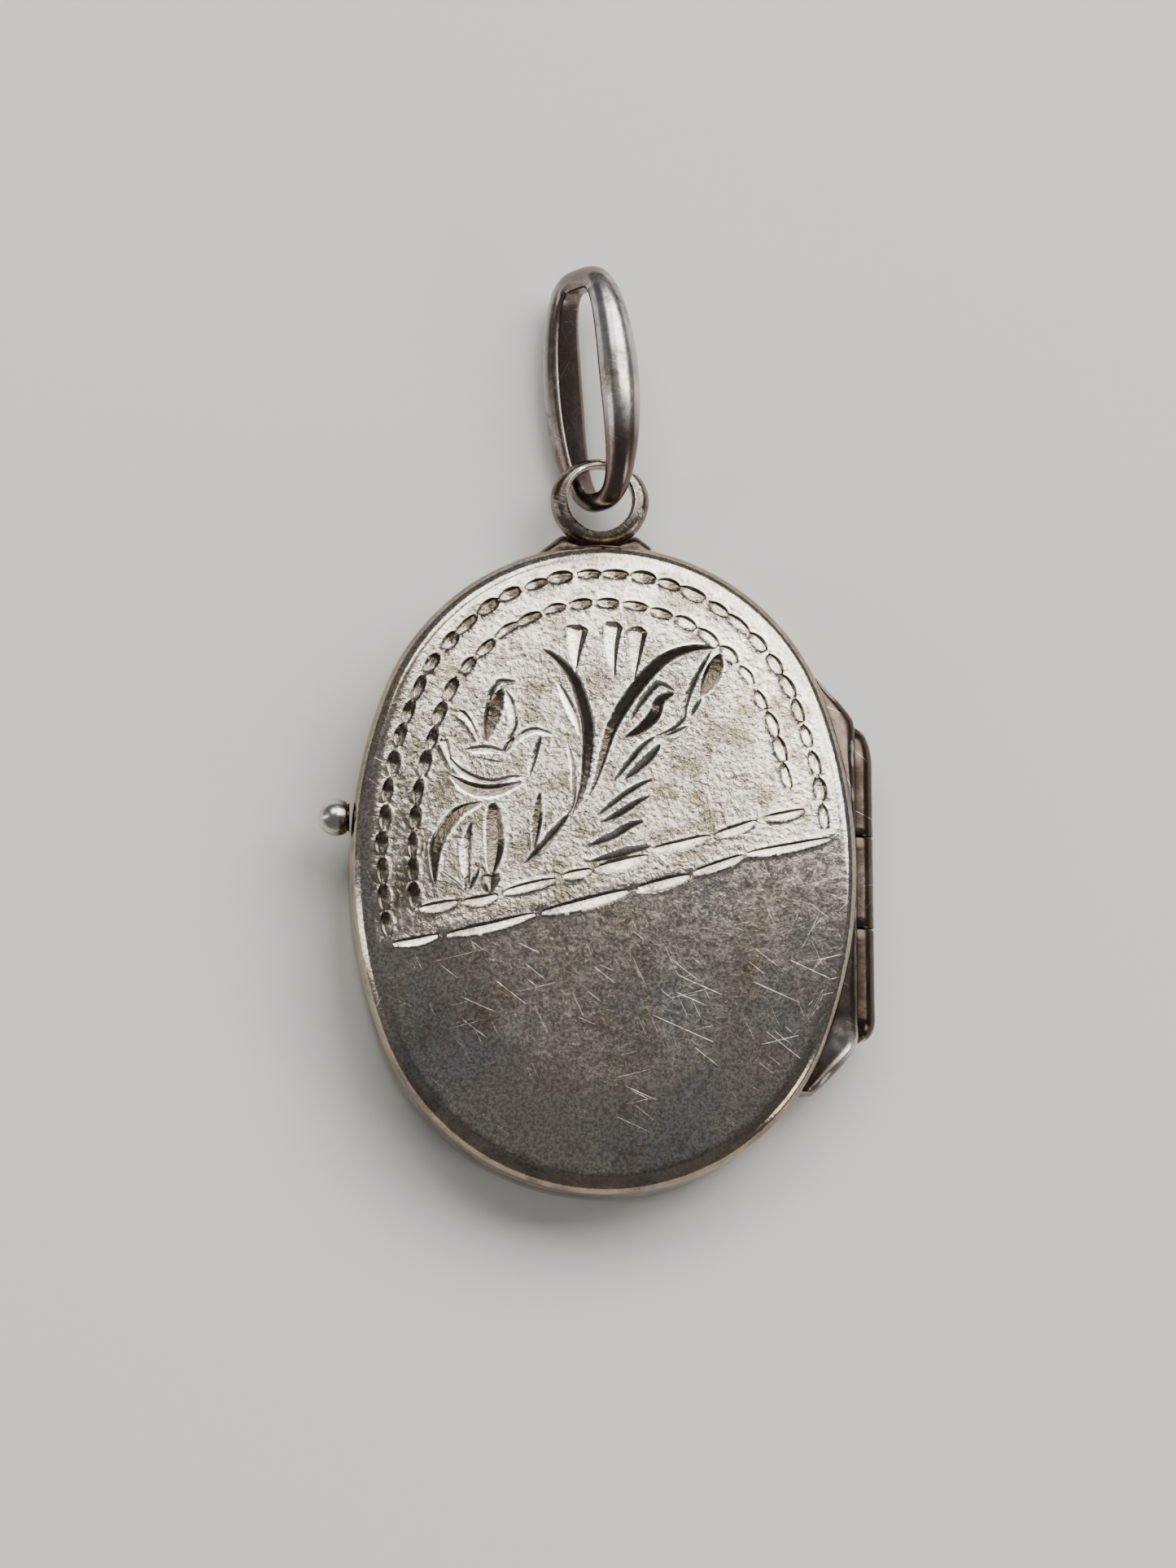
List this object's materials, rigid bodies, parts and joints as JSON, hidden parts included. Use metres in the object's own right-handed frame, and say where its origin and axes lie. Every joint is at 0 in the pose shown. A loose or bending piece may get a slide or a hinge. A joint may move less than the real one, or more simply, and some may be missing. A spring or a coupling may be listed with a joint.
{
  "type": "locket",
  "caption": "Oval hinged silver locket with an engraved front, soldered eye and loose tapered bail; opens on a side hinge to framed picture seats.",
  "frame": {"origin": "centre of the flat middle of the back cover, where the closed locket rests", "axes": "+Z out of the engraved front face, +Y towards the bail, +X towards the hinge"},
  "size_m": [0.0216, 0.0367, 0.0042],
  "materials": {
    "silver_front": "worn hand-engraved silver, lightly tarnished",
    "silver_back": "worn plain silver, lightly tarnished",
    "silver_hinge": "dark tarnished silver",
    "silver_bail": "worn silver wire with brown tarnish",
    "silver_inner": "bright inner frames, little worn",
    "window": "slightly yellowed clear sheet",
    "card": "aged brown card"
  },
  "bodies": {
    "back_half": {"back_cover": "silver_back", "back_rim": "silver_inner", "snap_collar": "silver_inner", "back_card": "card", "back_window": "window", "back_retaining_ring": "silver_inner", "back_hinge_bearer": "silver_hinge", "hinge_knuckle_upper": "silver_hinge", "hinge_knuckle_lower": "silver_hinge", "hinge_pin": "silver_hinge", "eye_base": "silver_back", "bail_eye": "silver_bail"},
    "front_half": {"front_cover": "silver_front", "front_rim": "silver_inner", "front_card": "card", "front_window": "window", "front_retaining_ring": "silver_inner", "front_hinge_bearer": "silver_hinge", "hinge_knuckle_middle": "silver_hinge", "thumb_ball": "silver_front"},
    "bail_body": {"bail": "silver_bail"}
  },
  "joints": [
    {"name": "lid_hinge", "type": "hinge", "parent": "back_half", "child": "front_half", "pos_m": [0.0099, -0.00045, 0.0021], "axis": [0, 1, 0], "range_deg": [0, 175]},
    {"name": "bail_swing", "type": "hinge", "parent": "back_half", "child": "bail_body", "pos_m": [0, 0.01472, 0.0021], "axis": [0, 0, 1], "range_deg": [-75, 75]}
  ]
}
